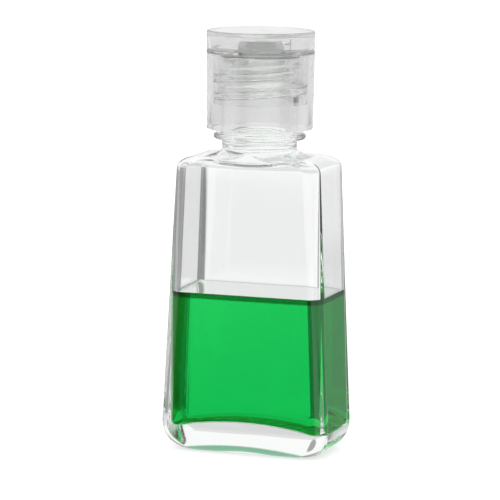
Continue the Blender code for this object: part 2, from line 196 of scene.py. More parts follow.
def rectangle_rings(half_x, half_y, radius, z):
    """Rings of a rounded rectangle. A point is its corner's centre, eased from corner to corner along the
    sides, plus the corner radius in the direction that the ring has turned to."""
    half_x, half_y, radius = column(half_x), column(half_y), column(radius)
    x = (half_x - radius) * column_x + radius * np.cos(column_angle)
    y = (half_y - radius) * column_y + radius * np.sin(column_angle)
    return np.stack([x, y, np.broadcast_to(column(z), x.shape)], axis=-1)


def body_half(z, inset_x, inset_y):
    """Half width and half depth of the tapered body at a height: a straight line from base to top, less the
    insets."""
    share = np.asarray(z) / body_height
    half_x, half_y = [low + (high - low) * share for low, high in zip(base_half, top_half)]
    return half_x - inset_x, half_y - inset_y


def between(first, last, count):
    """Rings evenly spaced on straight lines from one ring to another, both left out."""
    share = np.linspace(0, 1, count + 2)[1:-1, None, None]
    return first + (last - first) * share


def foot_lift(rings, flat_from):
    """Height of the standing edge above the floor: an arch along the width, the square of one less the
    squared share of the way to the flat feet, and zero past them."""
    share = np.clip(np.abs(rings[..., 0]) / flat_from, 0, 1)
    return foot_arch * (1 - share**2) ** 2


def outside_below():
    """The pushed-up base, the standing edge and the heel. The push-up is a dome that runs out flat, a power
    of one less the squared share of the way out. The heel is a quarter of an ellipse."""
    half_x, half_y = body_half(0.0, *heel_inset)
    flat_from = half_x - foot_width - foot_corner_radius
    edge_radius = foot_corner_radius - foot_width / 2
    edge = rectangle_rings(half_x - foot_width, half_y - foot_width, edge_radius, 0.0)
    share = np.linspace(pole_share, 1, dome_rings)[:, None, None]
    dome = edge * share
    arch = foot_lift(edge, flat_from) * share[..., 0] ** 4
    dome[..., 2] = push_up * (1 - share[..., 0] ** 2) ** push_up_power + arch
    angle = np.linspace(np.pi / 2, 0, heel_rings)
    inward = 1 - np.cos(angle)
    z = heel_height * (1 - np.sin(angle))
    half_x, half_y = body_half(z, heel_inset[0] * inward, heel_inset[1] * inward)
    radius = corner_radius + (foot_corner_radius - corner_radius) * inward
    heel = rectangle_rings(half_x, half_y, radius, z)
    heel[..., 2] += foot_lift(heel, flat_from) * column(inward)
    return np.concatenate([dome, between(dome[-1], heel[0], foot_rings)]), heel


def shoulder(inset, neck, root, tightness):
    """The shoulder from the straight side to the neck's root: a quarter ellipse inwards, then a fillet that
    rises as a quarter circle while the outline turns into the neck's circle. Front and back dip in the
    middle."""
    top = body_height - inset
    drop = (shoulder_round - inset / 2) * tightness
    angle = np.linspace(0, np.pi / 2, edge_rings)
    inward = 1 - np.cos(angle)
    z = top - drop * (1 - np.sin(angle))
    inset_side = inset + (shoulder_inset[0] - inset / 2) * inward
    half_x, half_y = body_half(z, inset_side, inset + shoulder_inset[1] * tightness * inward)
    radius = corner_radius - inset + (shoulder_corner_radius - corner_radius) * inward
    edge = rectangle_rings(half_x, half_y, radius, z)
    across = 1 - np.clip(np.abs(edge[..., 0]) / column(half_x), 0, 1) ** 2
    to_front = (edge[..., 1] / column(half_y)) ** 2
    edge[..., 2] -= shoulder_dip * across**2 * to_front * column(np.sin(angle) ** 2)
    circle = rectangle_rings(neck, neck, neck, root)[0]
    turn = np.linspace(0, np.pi / 2, fillet_rings)[1:, None, None]
    fillet = edge[-1] + (circle - edge[-1]) * np.sin(turn)
    fillet[..., 2] = edge[-1][:, 2] + (root - edge[-1][:, 2]) * (1 - np.cos(turn[..., 0]))
    return np.concatenate([edge, fillet])


def inside_below(inset, rise):
    """The inside from its heel, a quarter circle, to the middle of the floor, which is crowned as a
    parabola along the width. The wall gains evenly from the shoulder to the base."""
    angle = np.linspace(0, np.pi / 2, inner_rings)
    inward = 1 - np.cos(angle)
    z = floor_height + rise + inner_heel * (1 - np.sin(angle))
    wall = inset + (base_wall - body_wall) * (1 - z / body_height)
    half_x, half_y = body_half(z, wall, wall)
    round_in = inner_heel * inward
    heel = rectangle_rings(half_x - round_in, half_y - round_in, corner_radius - wall, z)
    heel[..., 2] += floor_crown * (1 - np.clip(np.abs(heel[..., 0]) / column(half_x), 0, 1) ** 2)
    share = np.linspace(1, pole_share, inner_rings)[1:, None, None]
    floor = heel[-1] * share
    floor[..., 2] = floor_height + rise + floor_crown * (1 - (floor[..., 0] / half_x[-1]) ** 2)
    return np.concatenate([heel, floor])


def rounded_profile(corners, closed=False):
    """A turned piece's section. Each corner is (radius, height, rounding, step): the path runs straight
    between corners and turns each one on a circle of its rounding. The run after it has points at most a
    step apart."""
    corners = np.array(corners)
    count = len(corners)
    pieces = []
    for i in range(count):
        here, size = corners[i, :2], corners[i, 2]
        if not closed and i in (0, count - 1):
            pieces.append(here[None, :])
            continue
        back, ahead = corners[i - 1, :2] - here, corners[(i + 1) % count, :2] - here
        back, ahead = back / np.linalg.norm(back), ahead / np.linalg.norm(ahead)
        half_angle = np.arccos(np.clip(back @ ahead, -1, 1)) / 2
        middle = (back + ahead) / np.linalg.norm(back + ahead)
        centre = here + middle * size / np.sin(half_angle)
        start = here + back * size / np.tan(half_angle)
        end = here + ahead * size / np.tan(half_angle)
        swing = np.linspace(-1, 1, profile_corner_points)[:, None] * (np.pi / 2 - half_angle)
        across = (end - start) / np.linalg.norm(end - start)
        pieces.append(centre - size * np.cos(swing) * middle + size * np.sin(swing) * across)
    path = [pieces[0]]
    for ahead, step in zip(pieces[1:] + ([pieces[0]] if closed else []), corners[:, 3]):
        last = path[-1][-1]
        runs = int(np.ceil(np.linalg.norm(ahead[0] - last) / step))
        path.append(last + (ahead[0] - last) * np.linspace(0, 1, max(runs, 1) + 1)[1:-1, None])
        path.append(ahead)
    if closed:
        path.pop()
    return np.concatenate([piece for piece in path if len(piece)])


def screw_ridge(angle, z, foot, first_turn, turns, root, crest):
    """Height, from 0 to 1, of one ridge along a right-hand helix that rises a pitch each turn from its
    foot. Its section is a trapezoid with eased corners, and it fades out at both ends."""
    turn = angle / (2 * np.pi)
    turn = turn + np.round((z - foot) / thread_pitch - turn)
    off_line = np.abs(z - foot - thread_pitch * turn)
    side = np.clip((root / 2 - off_line) / (root / 2 - crest / 2), 0, 1)
    along = np.minimum(turn - first_turn, first_turn + turns - turn)
    return smooth(side) * smooth(np.clip(along / ridge_fade_turns, 0, 1))


def grid_object(name, rings, closed=False, slots=None):
    """A closed skin over a grid of points, rings by columns. Columns close round. The first and last ring
    are closed by a point at their middle, or joined where the section is a closed loop. Faces are turned
    outwards by the sign of the volume that they hold."""
    count, columns = rings.shape[:2]
    index = np.arange(count * columns).reshape(count, columns)
    low = index if closed else index[:-1]
    high = np.roll(index, -1, axis=0) if closed else index[1:]
    quads = np.stack([low, np.roll(low, -1, 1), np.roll(high, -1, 1), high], axis=-1).reshape(-1, 4)
    points = rings.reshape(-1, 3)
    faces = quads.tolist()
    if not closed:
        poles = rings[[0, -1]].mean(axis=1)
        first, last = index[0], index[-1]
        points = np.concatenate([points, poles])
        pole = count * columns
        faces += np.stack([np.full(columns, pole), np.roll(first, -1), first], axis=-1).tolist()
        faces += np.stack([np.full(columns, pole + 1), last, np.roll(last, -1)], axis=-1).tolist()
    halves = np.concatenate([quads[:, [0, 1, 2]], quads[:, [0, 2, 3]]])
    volume = np.linalg.det(points[halves] - points.mean(axis=0)).sum()
    if volume < 0:
        faces = [face[::-1] for face in faces]
    mesh = bpy.data.meshes.new(name)
    mesh.from_pydata(points, [], faces)
    mesh.shade_smooth()
    if slots is not None:
        by_face = np.zeros(len(faces), np.int32)
        by_face[: len(quads)] = np.repeat(slots, columns)
        mesh.polygons.foreach_set("material_index", by_face)
    made = bpy.data.objects.new(name, mesh)
    bpy.context.scene.collection.objects.link(made)
    return made


def mark(piece, name, values):
    """Stores a number for each point of a grid, rings by columns. Points that close the ends get 0."""
    layer = piece.data.attributes.new(name, "FLOAT", "POINT")
    layer.data.foreach_set("value", np.append(values.ravel(), np.zeros(len(layer.data) - values.size)))


def marked_share(nodes, name):
    """Reads a stored mark in a material."""
    stored = nodes.new("ShaderNodeAttribute")
    stored.attribute_name = name
    return stored.outputs["Fac"]


def mixed_colour(nodes, links, share, first, second):
    """Mixes two colours by a share that another node gives."""
    mixed = nodes.new("ShaderNodeMix")
    mixed.data_type = "RGBA"
    mixed.inputs["A"].default_value = (*first, 1.0)
    mixed.inputs["B"].default_value = (*second, 1.0)
    links.new(share, mixed.inputs["Factor"])
    return mixed


def clear_material(name, colour, roughness, ior):
    """A clear or hazy solid: each face bends the light that passes it, and tints it a little."""
    made = bpy.data.materials.new(name)
    made.use_nodes = True
    shader = made.node_tree.nodes["Principled BSDF"]
    shader.inputs["Base Color"].default_value = (*colour, 1.0)
    shader.inputs["Roughness"].default_value = roughness
    shader.inputs["Transmission Weight"].default_value = 1.0
    shader.inputs["IOR"].default_value = ior
    return made, made.node_tree.nodes, made.node_tree.links, shader


def noise_bump(nodes, links, shader, stretch, scale, detail, height):
    """Shallow waves in a surface: noise read in the model's own frame, stretched by stretch."""
    place = nodes.new("ShaderNodeTexCoord")
    mapping = nodes.new("ShaderNodeMapping")
    mapping.inputs["Scale"].default_value = stretch
    noise = nodes.new("ShaderNodeTexNoise")
    noise.inputs["Scale"].default_value = scale
    noise.inputs["Detail"].default_value = detail
    bump = nodes.new("ShaderNodeBump")
    bump.inputs["Strength"].default_value = 1.0
    bump.inputs["Distance"].default_value = height
    links.new(place.outputs["Object"], mapping.inputs["Vector"])
    links.new(mapping.outputs["Vector"], noise.inputs["Vector"])
    links.new(noise.outputs["Fac"], bump.inputs["Height"])
    links.new(bump.outputs["Normal"], shader.inputs["Normal"])
    return noise


neck_profile = rounded_profile(
    [
        (neck_radius, body_height + shoulder_rise, 0.0, plain_step),
        (neck_radius, bead_bottom, bead_root_round, plain_step),
        (bead_radius, bead_bottom, bead_round, plain_step),
        (bead_radius, bead_top, bead_round, plain_step),
        (neck_radius, bead_top, bead_root_round, thread_step),
        (neck_radius, rim_height, rim_round, plain_step),
        (bore_radius, rim_height, rim_round, plain_step),
        (bore_radius, bead_bottom, bore_round, plain_step),
        (neck_radius - body_wall, body_height + shoulder_rise - body_wall, 0.0, plain_step),
    ]
)[1:-1]
neck_ring_radius, neck_ring_z = column(neck_profile[:, 0]), column(neck_profile[:, 1])
neck_ridge = (0.0, neck_thread_turns, neck_ridge_root, neck_ridge_crest)
ridge = screw_ridge(column_angle, neck_ring_z, neck_thread_foot, *neck_ridge)
on_outside = neck_ring_radius > (neck_radius + bore_radius) / 2
swollen = neck_ring_radius + thread_depth * ridge * on_outside
neck_rings = np.stack(
    [
        swollen * np.cos(column_angle),
        swollen * np.sin(column_angle),
        np.broadcast_to(neck_ring_z, swollen.shape),
    ],
    axis=-1,
)

underside, heel = outside_below()
outer_root = (neck_radius, body_height + shoulder_rise)
inner_root = (neck_radius - body_wall, body_height + shoulder_rise - body_wall)
outer_shoulder = shoulder(0.0, *outer_root, 1.0)
inner_shoulder = shoulder(body_wall, *inner_root, inner_shoulder_tightness)[::-1]
inner_base = inside_below(body_wall, 0.0)

# The gel climbs the wall where it touches it, higher at the front and the ends than at the back.
fill_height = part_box("green_gel")[1].z
meniscus_height = 0.5 * mm
meniscus_at_back = 0.1 * mm
facing_front = eased_share(-np.sin(column_angle), -0.9, -0.1)
climb = meniscus_at_back + (meniscus_height - meniscus_at_back) * facing_front
wall_top, wall_foot = inner_shoulder[-1], inner_base[0]
drop_share = (wall_top[:, 2] - fill_height - climb) / (wall_top[:, 2] - wall_foot[:, 2])
waterline = (wall_top + (wall_foot - wall_top) * drop_share[:, None])[None]

dry_rings = [
    underside,
    heel,
    between(heel[-1], outer_shoulder[0], side_wall_rings),
    outer_shoulder,
    neck_rings,
    inner_shoulder,
    between(wall_top, waterline[0], wall_rings),
]
wet_rings = [waterline, between(waterline[0], wall_foot, wall_rings), inner_base]
bottle_rings = np.concatenate(dry_rings + wet_rings)
dry_skin, wet_skin, underside_skin = 0, 1, 2
skin = np.full(len(bottle_rings) - 1, dry_skin, np.int32)
skin[sum(len(rings) for rings in dry_rings) :] = wet_skin
skin[: len(underside)] = underside_skin
bottle = grid_object("clear_bottle", bottle_rings, slots=skin)

# Low on the heel the plastic shows the gel above it, bent down by the curve. That green edge, widest in the
# middle, is painted refraction: a green stored as a mark, because the bent light alone leaves that edge too
# pale.
painted_refraction_colour = (0.03, 0.21, 0.08)
edge_least = 0.9 * mm
edge_gain = 1.4 * mm
edge_half_width = 15.0 * mm
edge_softness = 0.2 * mm
edge_height = edge_least + edge_gain * np.clip(1 - (bottle_rings[..., 0] / edge_half_width) ** 2, 0, 1)
painted_gel_refraction = eased_share(edge_height - bottle_rings[..., 2], -edge_softness, edge_softness)
painted_gel_refraction[: len(underside)] = 0
mark(bottle, "painted_gel_refraction", painted_gel_refraction)

# Three finishes of one plastic: bare, wetted by gel, and the slightly milky underside. Each is a name, a
# roughness, a refractive index, a clear share, and whether the painted green refraction reaches it. Where
# gel wets the wall, only the ratio of the two indices bends the light. The blown surface waves a little: a
# stretch, a scale, a detail and a height.
pet_colour = (0.99, 0.993, 0.993)
pet_ior = 1.575
gel_ior = 1.34
pet_waves = ((1.0, 1.0, 0.25), 160.0, 1.0, 0.008 * mm)
pet_skins = (
    ("clear_pet", 0.0, pet_ior, 1.0, True),
    ("clear_pet_against_gel", 0.0, pet_ior / gel_ior, 1.0, False),
    ("clear_pet_underside", 0.25, pet_ior, 0.7, True),
)
for name, roughness, ior, clear_share, has_painted_refraction in pet_skins:
    pet, nodes, links, shader = clear_material(name, pet_colour, roughness, ior)
    shader.inputs["Transmission Weight"].default_value = clear_share
    noise_bump(nodes, links, shader, *pet_waves)
    if has_painted_refraction:
        # Painted refraction: the green edge of the gel's image is mixed into the plastic's own colour.
        edged = mixed_colour(nodes, links, marked_share(nodes, "painted_gel_refraction"), pet_colour, painted_refraction_colour)
        links.new(edged.outputs["Result"], shader.inputs["Base Color"])
    bottle.data.materials.append(pet)
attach(bottle, "bottle_body")
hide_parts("bottle")

# Gel. Clear green gel that fills the lower half and wets the wall: its sides touch the plastic, so light
# bends there only once, in the bottle's own face. Seen at a low angle its free surface is a mirror.
wet_gap = 0.01 * mm
meniscus_width = 1.3 * mm
meniscus_reach = 3.0 * mm
surface_edge_rings = 26
surface_level_rings = 10
gel_side_rings = 160

gel_line = waterline[0].copy()
gel_line[:, 0] -= wet_gap * np.cos(column_angle)
gel_line[:, 1] -= wet_gap * np.sin(column_angle)
level_line = rectangle_rings(
    gel_line[:, 0].max() - meniscus_reach,
    gel_line[:, 1].max() - meniscus_reach,
    (corner_radius - body_wall) / 4,
    fill_height,
)[0]
# The free surface is flat in the middle, and its climb fades off the wall as a falling exponential.
off_wall = np.linspace(1, 0, surface_edge_rings)[:, None] ** 2
surface_rings = gel_line + (level_line - gel_line) * off_wall[..., None]
fade = np.exp(-off_wall * meniscus_reach / meniscus_width) * (1 - off_wall)
surface_rings[..., 2] = fill_height + climb * fade
level_rings = level_line * np.linspace(pole_share, 1, surface_level_rings)[:-1, None, None]
level_rings[..., 2] = fill_height
surface_rings = np.concatenate([level_rings, surface_rings])
gel_base = inside_below(body_wall + wet_gap, wet_gap)
gel_sides = between(surface_rings[-1], gel_base[0], gel_side_rings)
gel_rings = np.concatenate([surface_rings, gel_sides, gel_base])
gel_skin = np.zeros(len(gel_rings) - 1, np.int32)
gel_skin[len(surface_rings) - 1 :] = 1
gel = grid_object("green_gel_fill", gel_rings, slots=gel_skin)

# Right under the waterline the gel's side is painted with a dark band: painted shade for the light that the
# gel's edge bends away.
painted_shade_colour = (0.0005, 0.06, 0.004)
band_height = 1.35 * mm
band_softness = 0.1 * mm
below_line = gel_line[:, 2] - gel_rings[..., 2]
on_side = np.arange(len(gel_rings))[:, None] >= len(surface_rings) - 1
mark(gel, "painted_dark_band", on_side * eased_share(band_height - below_line, -band_softness, band_softness))

# Painted light: light enters from above and the left, so the gel's tint is painted lighter there and deeper
# towards the floor. A little of the tint is cloudy.
deep_green = (0.002, 0.545, 0.084)
painted_lit_green = (0.018, 0.67, 0.125)
painted_light_power = 1.5
painted_light_at_right = 0.35
cloud_share = 0.2
gel_waves = ((1.0, 1.0, 0.6), 90.0, 2.0, 0.002 * mm)
height_share = np.clip((gel_rings[..., 2] - floor_height) / (fill_height - floor_height), 0, 1)
leftness = 0.5 - 0.5 * gel_rings[..., 0] / base_half[0]
mark(gel, "painted_light", height_share**painted_light_power * (painted_light_at_right + (1 - painted_light_at_right) * leftness))
for name, ior in (("green_gel_surface", gel_ior), ("green_gel_against_wall", 1.0)):
    green, nodes, links, shader = clear_material(name, deep_green, 0.0, ior)
    cloud = noise_bump(nodes, links, shader, *gel_waves)
    painted_light_and_cloud = nodes.new("ShaderNodeMix")
    painted_light_and_cloud.inputs["Factor"].default_value = cloud_share
    links.new(marked_share(nodes, "painted_light"), painted_light_and_cloud.inputs["A"])
    links.new(cloud.outputs["Fac"], painted_light_and_cloud.inputs["B"])
    # The tint mixes the painted light with a little random cloud.
    tint = mixed_colour(nodes, links, painted_light_and_cloud.outputs["Result"], deep_green, painted_lit_green)
    # Painted shade: the dark band under the waterline darkens the gel's tint.
    with_painted_shade = mixed_colour(nodes, links, marked_share(nodes, "painted_dark_band"), deep_green, painted_shade_colour)
    links.new(tint.outputs["Result"], with_painted_shade.inputs["A"])
    links.new(with_painted_shade.outputs["Result"], shader.inputs["Base Color"])
    gel.data.materials.append(green)

# The free surface turns from clear to mirror as it is seen at lower angles.
mirror_colour = (0.89, 0.9, 0.89)
mirror_from, mirror_full = 0.6, 0.85
nodes, links = gel.data.materials[0].node_tree.nodes, gel.data.materials[0].node_tree.links
grazing = nodes.new("ShaderNodeLayerWeight")
grazing.inputs["Blend"].default_value = 0.5
mirror_share = nodes.new("ShaderNodeMapRange")
mirror_share.interpolation_type = "SMOOTHSTEP"
mirror_share.inputs["From Min"].default_value = mirror_from
mirror_share.inputs["From Max"].default_value = mirror_full
mirror = nodes.new("ShaderNodeBsdfGlossy")
mirror.inputs["Color"].default_value = (*mirror_colour, 1.0)
mirror.inputs["Roughness"].default_value = 0.0
clear_or_mirror = nodes.new("ShaderNodeMixShader")
links.new(grazing.outputs["Facing"], mirror_share.inputs["Value"])
links.new(mirror_share.outputs["Result"], clear_or_mirror.inputs["Fac"])
links.new(nodes["Principled BSDF"].outputs["BSDF"], clear_or_mirror.inputs[1])
links.new(mirror.outputs["BSDF"], clear_or_mirror.inputs[2])
links.new(clear_or_mirror.outputs["Shader"], nodes["Material Output"].inputs["Surface"])
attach(gel, "bottle_body")
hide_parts("green_gel")

# Sealing washer. A die-cut ring of white polyethylene foam that lies loose between the neck's rim and the
# cap's deck, and is pressed between them when the cap is screwed down.
washer_low, washer_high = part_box("sealing_washer")
washer_round = 0.12 * mm
foam_colour = (0.9, 0.9, 0.88)
foam_roughness = 0.5
foam_ior = 1.2
foam_clear_share = 0.6
foam_cells = ((1.0, 1.0, 1.0), 2500.0, 2.0, 0.05 * mm)
turn_columns = 240
column_crowding = 0.17

# A turned piece's columns stand closest at its front and back, where the cap has its scoop and its hinge.
turn_angle = np.linspace(0, 2 * np.pi, turn_columns, endpoint=False)
turn_angle = turn_angle + column_crowding * np.sin(2 * turn_angle)


def turned_rings(profile, radius=None):
    """Rings of a turned piece: its section's points carried round the axis, or a radius of their own by
    ring and column."""
    radius = column(profile[:, 0]) if radius is None else radius
    radius = np.broadcast_to(radius, (len(profile), turn_columns))
    z = np.broadcast_to(profile[:, 1][:, None], radius.shape)
    return np.stack([radius * np.cos(turn_angle), radius * np.sin(turn_angle), z], axis=-1)


washer_profile = rounded_profile(
    [
        (washer_high.x, washer_high.z, washer_round, plain_step),
        (washer_high.x, washer_low.z, washer_round, plain_step),
        (bore_radius, washer_low.z, washer_round, plain_step),
        (bore_radius, washer_high.z, washer_round, plain_step),
    ],
    closed=True,
)
washer = grid_object("foam_washer", turned_rings(washer_profile), closed=True)
foam, nodes, links, shader = clear_material("milky_foam", foam_colour, foam_roughness, foam_ior)
shader.inputs["Transmission Weight"].default_value = foam_clear_share
noise_bump(nodes, links, shader, *foam_cells)
washer.data.materials.append(foam)
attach(washer, "seal")
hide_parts("sealing_washer")

# Cap base. Injection-moulded natural polypropylene, hazy and see-through: a plain outer skirt, a threaded
# inner skirt, a plug that seals the bore, a deck, and a domed nozzle with a round hole.
cap_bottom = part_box("cap_base")[0].z
lid_low, lid_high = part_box("cap_lid")
cap_radius_bottom = 12.66 * mm
cap_radius_top = 12.96 * mm
cap_wall = 0.9 * mm
lid_gap = 0.3 * mm
ledge_height = lid_low.z - lid_gap
deck_top = ledge_height + 0.65 * mm
deck_bottom = deck_top - 1.3 * mm
skirt_bottom = deck_bottom - 12.1 * mm
skirt_outer = 11.25 * mm
thread_root = 10.25 * mm
plug_outer = 7.05 * mm
plug_inner = 5.95 * mm
plug_bottom = deck_bottom - 6.4 * mm
nozzle_radius = 5.5 * mm
nozzle_top = deck_top + 1.5 * mm
nozzle_bottom = nozzle_top - 1.0 * mm
nozzle_hollow_foot = nozzle_radius - 1.0 * mm
nozzle_hollow_top = nozzle_radius - 1.75 * mm
orifice_radius = 1.5 * mm
cap_ridge_root = 1.7 * mm
cap_ridge_crest = 0.7 * mm
cap_thread_turns = 1.5
thread_offset = 1.52 * mm
outer_step = 0.22 * mm


def cap_radius_at(z):
    """Outer radius of the closed cap: a straight draft from its bottom edge to its top."""
    share = (z - cap_bottom) / (lid_high.z - cap_bottom)
    return cap_radius_bottom + (cap_radius_top - cap_radius_bottom) * share


# The hinge side is at the back, on +Y: a flat pad stands out of the wall under the slot. At the front a
# shallow scoop, a flattened ball, gives the thumb a hold under the lid's edge. Each is worked only into the
# columns that face its own way, whose sine is past a half.
film_low, film_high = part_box("hinge_film_left")
seat_gap = 0.3 * mm
pad_face = film_high.y
pad_half_width = 4.0 * mm
pad_height = 2.0 * mm
pad_top = film_low.z - seat_gap
pad_edge = 0.25 * mm
facing_sine = 0.5
scoop_half_x, scoop_half_y, scoop_half_z = 5.0 * mm, 0.9 * mm, 2.0 * mm
scoop_y = -cap_radius_at(ledge_height) - 0.45 * mm
scoop_z = ledge_height - 1.0 * mm


def with_pad(radius, z, low, high):
    """Radius of an outer wall with a hinge pad: each column reaches out to the plane y = pad face, whose
    radius is the face's distance over the sine of the column's angle, inside the pad's four eased edges."""
    face = pad_face / np.maximum(np.sin(turn_angle), facing_sine)
    across = eased_share(pad_half_width - np.abs(face * np.cos(turn_angle)), 0, pad_edge)
    upright = eased_share(z - low, 0, pad_edge) * eased_share(high - z, 0, pad_edge)
    return radius + np.maximum(face - radius, 0) * across * (np.sin(turn_angle) > facing_sine) * upright


def with_scoop(radius, z):
    """Radius of an outer wall cut by a flattened ball: at most that of the ball's inner face."""
    x = radius * np.cos(turn_angle)
    room = 1 - (x / scoop_half_x) ** 2 - ((z - scoop_z) / scoop_half_z) ** 2
    face_y = scoop_y + scoop_half_y * np.sqrt(np.maximum(room, 0))
    face = face_y / np.minimum(np.sin(turn_angle), -facing_sine)
    return np.where((room > 0) & (np.sin(turn_angle) < -facing_sine), np.minimum(radius, face), radius)


ledge_radius = cap_radius_at(ledge_height)
cap_profile = rounded_profile(
    [
        (ledge_radius, ledge_height, 0.12 * mm, outer_step),
        (cap_radius_bottom, cap_bottom, 0.25 * mm, plain_step),
        (cap_radius_bottom - cap_wall, cap_bottom, 0.2 * mm, plain_step),
        (ledge_radius - cap_wall, deck_bottom, 0.25 * mm, plain_step),
        (skirt_outer, deck_bottom, 0.25 * mm, plain_step),
        (skirt_outer, skirt_bottom, 0.3 * mm, plain_step),
        (thread_root, skirt_bottom, 0.2 * mm, thread_step),
        (thread_root, deck_bottom, 0.25 * mm, plain_step),
        (plug_outer, deck_bottom, 0.25 * mm, plain_step),
        (plug_outer, plug_bottom, 0.45 * mm, plain_step),
        (plug_inner, plug_bottom, 0.3 * mm, plain_step),
        (plug_inner, deck_bottom, 0.3 * mm, plain_step),
        (nozzle_hollow_foot, deck_bottom, 0.2 * mm, plain_step),
        (nozzle_hollow_top, nozzle_bottom, 0.4 * mm, plain_step),
        (orifice_radius, nozzle_bottom, 0.08 * mm, plain_step),
        (orifice_radius, nozzle_top, 0.15 * mm, plain_step),
        (nozzle_radius, nozzle_top, 1.4 * mm, plain_step),
        (nozzle_radius, deck_top, 0.08 * mm, plain_step),
        (ledge_radius - cap_wall - lid_gap, deck_top, 0.15 * mm, plain_step),
        (ledge_radius - cap_wall - lid_gap, ledge_height, 0.05 * mm, outer_step),
    ],
    closed=True,
)
ring_radius, ring_z = column(cap_profile[:, 0]), column(cap_profile[:, 1])
cap_foot = neck_thread_foot - thread_offset
first_turn = (skirt_bottom + cap_ridge_root / 2 + 0.3 * mm - cap_foot) / thread_pitch
cap_ridge = (first_turn, cap_thread_turns, cap_ridge_root, cap_ridge_crest)
ridge = screw_ridge(turn_angle, ring_z, cap_foot, *cap_ridge)
in_thread = (np.abs(ring_radius - thread_root) < 0.02 * mm) & (ring_z < deck_bottom - 0.3 * mm)
shell_radius = ring_radius - thread_depth * ridge * in_thread
on_outer_wall = ring_radius > cap_radius_bottom - cap_wall / 2
dressed_radius = with_scoop(with_pad(shell_radius, ring_z, pad_top - pad_height, pad_top), ring_z)
shell_radius = np.where(on_outer_wall, dressed_radius, shell_radius)
cap = grid_object("cap_base_shell", turned_rings(cap_profile, shell_radius), closed=True)

# The plastic is hazy glass with a milky share that scatters light at its skin. It grows greyer and milkier
# where it is thick.
thin_plastic = (0.975, 0.978, 0.975)
thick_plastic = (0.88, 0.885, 0.88)
thin_milk, thick_milk = 0.04, 0.24
plastic_ior = 1.47
plastic_roughness = 0.006
least_gloss, most_gloss = 0.6, 1.4
plastic_flow = ((1.0, 1.0, 0.4), 260.0, 3.0, 0.003 * mm)
ring_slack = 0.1 * mm


def natural_plastic(name, milk, roughness):
    """Natural polypropylene: a clear share and a milky share. Flow marks from the mould vary its gloss."""
    made, nodes, links, shader = clear_material(name, thin_plastic, roughness, plastic_ior)
    shader.inputs["Transmission Weight"].default_value = 1 - milk
    flow = noise_bump(nodes, links, shader, *plastic_flow)
    gloss = nodes.new("ShaderNodeMapRange")
    gloss.inputs["To Min"].default_value = roughness * least_gloss
    gloss.inputs["To Max"].default_value = roughness * most_gloss
    links.new(flow.outputs["Fac"], gloss.inputs["Value"])
    links.new(gloss.outputs["Result"], shader.inputs["Roughness"])
    return made


def mould(piece, name, thick_rings):
    """Gives a turned piece its plastic: marks its thick rings, and mixes the thin look with the thick one
    by that mark."""
    mark(piece, "thick", np.repeat(thick_rings, turn_columns, axis=1).astype(float))
    plastic = natural_plastic(name, thin_milk, plastic_roughness)
    nodes, links = plastic.node_tree.nodes, plastic.node_tree.links
    shader = nodes["Principled BSDF"]
    thick = marked_share(nodes, "thick")
    mixed = mixed_colour(nodes, links, thick, thin_plastic, thick_plastic)
    clear_share = nodes.new("ShaderNodeMapRange")
    clear_share.inputs["To Min"].default_value = 1 - thin_milk
    clear_share.inputs["To Max"].default_value = 1 - thick_milk
    links.new(thick, clear_share.inputs["Value"])
    links.new(mixed.outputs["Result"], shader.inputs["Base Color"])
    links.new(clear_share.outputs["Result"], shader.inputs["Transmission Weight"])
    piece.data.materials.append(plastic)


mould(cap, "hazy_cap", (ring_z > deck_bottom - ring_slack) & (ring_radius < ledge_radius - cap_wall))
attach(cap, "cap")
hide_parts("cap_base")

# Lid. The same polypropylene: a flat disc with a thin wall round it and a short pin that closes the hole.
# A second pad at the back faces the cap's across the hinge slot.
lid_ceiling = lid_high.z - 1.1 * mm
lid_edge = cap_radius_at(lid_low.z)
lid_pad_bottom = film_high.z + seat_gap
pin_radius = orifice_radius - lid_gap
pin_bottom = nozzle_top - 0.9 * mm
at_axis = 0.02 * mm

lid_profile = rounded_profile(
    [
        (at_axis, lid_high.z, 0.0, plain_step),
        (cap_radius_top, lid_high.z, 0.45 * mm, outer_step),
        (lid_edge, lid_low.z, 0.12 * mm, plain_step),
        (lid_edge - cap_wall, lid_low.z, 0.12 * mm, plain_step),
        (lid_edge - cap_wall, lid_ceiling, 0.3 * mm, plain_step),
        (pin_radius, lid_ceiling, 0.25 * mm, plain_step),
        (pin_radius, pin_bottom, 0.3 * mm, plain_step),
        (at_axis, pin_bottom, 0.0, plain_step),
    ]
)
ring_radius, ring_z = column(lid_profile[:, 0]), column(lid_profile[:, 1])
below_top = ring_z < lid_high.z - ring_slack
on_outer_wall = (ring_radius > lid_edge - cap_wall / 2) & below_top
padded = with_pad(ring_radius, ring_z, lid_pad_bottom, lid_pad_bottom + pad_height)
lid = grid_object("flip_lid", turned_rings(lid_profile, np.where(on_outer_wall, padded, ring_radius)))
mould(lid, "hazy_lid", (ring_z > lid_ceiling - ring_slack) & below_top)
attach(lid, "lid")
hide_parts("cap_lid")

# Living hinge. Two thin films of the same moulding join the pads on the hinge's line, and a strap between
# them stands a little further back, so that it snaps the lid open.
web_milk = 0.4
web_roughness = 0.08
web_rings = 25
web_columns = 28
web_end = 0.04
web_end_least = 0.01
waist_width = 0.22
strap_waist = 0.85
strap_reach_from, strap_reach_over = 0.3, 0.12
web_plastic = natural_plastic("hazy_web", web_milk, web_roughness)
web_share = np.linspace(0, 1, web_rings)[:, None]
around = np.linspace(0, 2 * np.pi, web_columns, endpoint=False)


def waist(full, least):
    """Full size at both ends of a web and least in its middle, along a bell curve."""
    return full - (full - least) * np.exp(-(((web_share - 0.5) / waist_width) ** 2))


